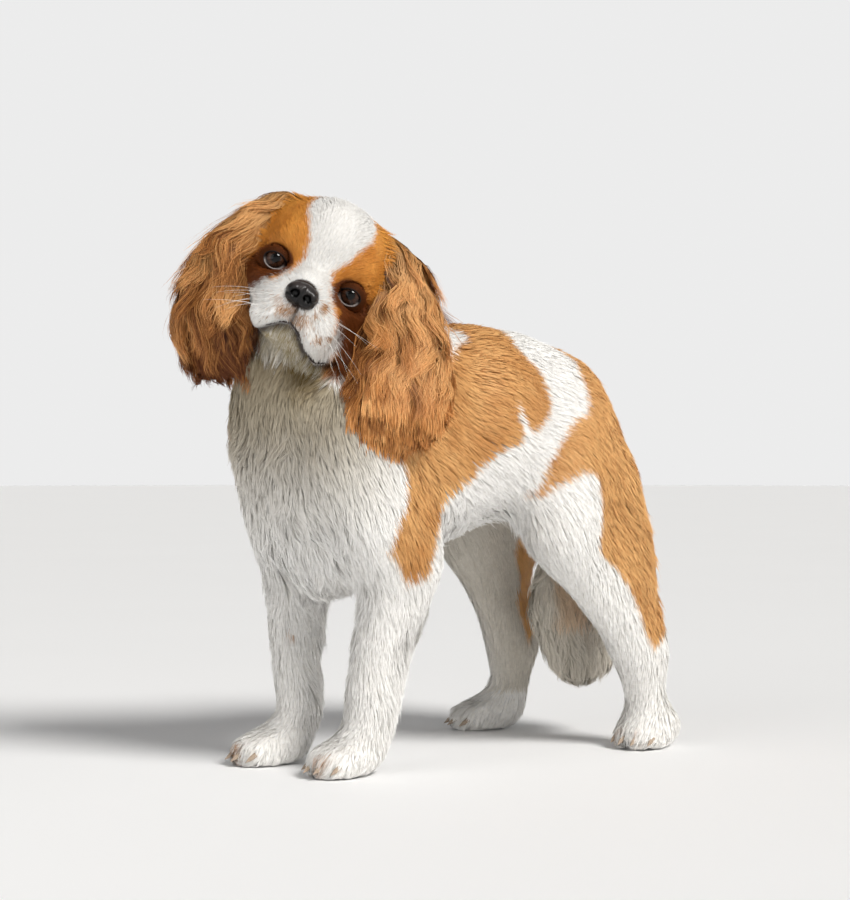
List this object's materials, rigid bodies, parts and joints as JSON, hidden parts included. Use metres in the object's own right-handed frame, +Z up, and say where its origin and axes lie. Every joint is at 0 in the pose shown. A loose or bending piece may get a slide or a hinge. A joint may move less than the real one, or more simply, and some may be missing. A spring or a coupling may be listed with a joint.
{
  "type": "cavalier king charles spaniel",
  "caption": "Life-size standing spaniel with a tilted head, long hanging ears, feathered legs and a plumed tail, in a chestnut and white coat.",
  "frame": {"origin": "middle of the bounding box, on the floor the paws stand on", "axes": "+Z up, the dog faces -Y, its left side is +X"},
  "size_m": [0.214, 0.3938, 0.4148],
  "materials": {
    "coat_chestnut": "long silky fur, chestnut",
    "coat_white": "long silky fur, white",
    "eye": "wet, dark brown",
    "nose_leather": "moist pebbled skin, black",
    "claw": "smooth dark horn"
  },
  "bodies": {
    "root": {"chest": "coat_white", "claw_forepaw_left_1": "claw", "claw_forepaw_left_2": "claw", "claw_forepaw_left_3": "claw", "claw_forepaw_left_4": "claw", "claw_forepaw_right_1": "claw", "claw_forepaw_right_2": "claw", "claw_forepaw_right_3": "claw", "claw_forepaw_right_4": "claw", "claw_hindpaw_left_1": "claw", "claw_hindpaw_left_2": "claw", "claw_hindpaw_left_3": "claw", "claw_hindpaw_left_4": "claw", "claw_hindpaw_right_1": "claw", "claw_hindpaw_right_2": "claw", "claw_hindpaw_right_3": "claw", "claw_hindpaw_right_4": "claw", "ear_left": "coat_chestnut", "ear_right": "coat_chestnut", "eye_left": "eye", "eye_right": "eye", "foreleg_left": "coat_white", "foreleg_right": "coat_white", "forepaw_left": "coat_white", "forepaw_right": "coat_white", "head": "coat_white", "hindpaw_left": "coat_white", "hindpaw_right": "coat_white", "loin": "coat_chestnut", "lower_jaw": "coat_white", "neck": "coat_white", "nose": "nose_leather", "rump": "coat_chestnut", "shank_left": "coat_white", "shank_right": "coat_white", "tail": "coat_white", "thigh_left": "coat_chestnut", "thigh_right": "coat_chestnut"}
  },
  "joints": []
}
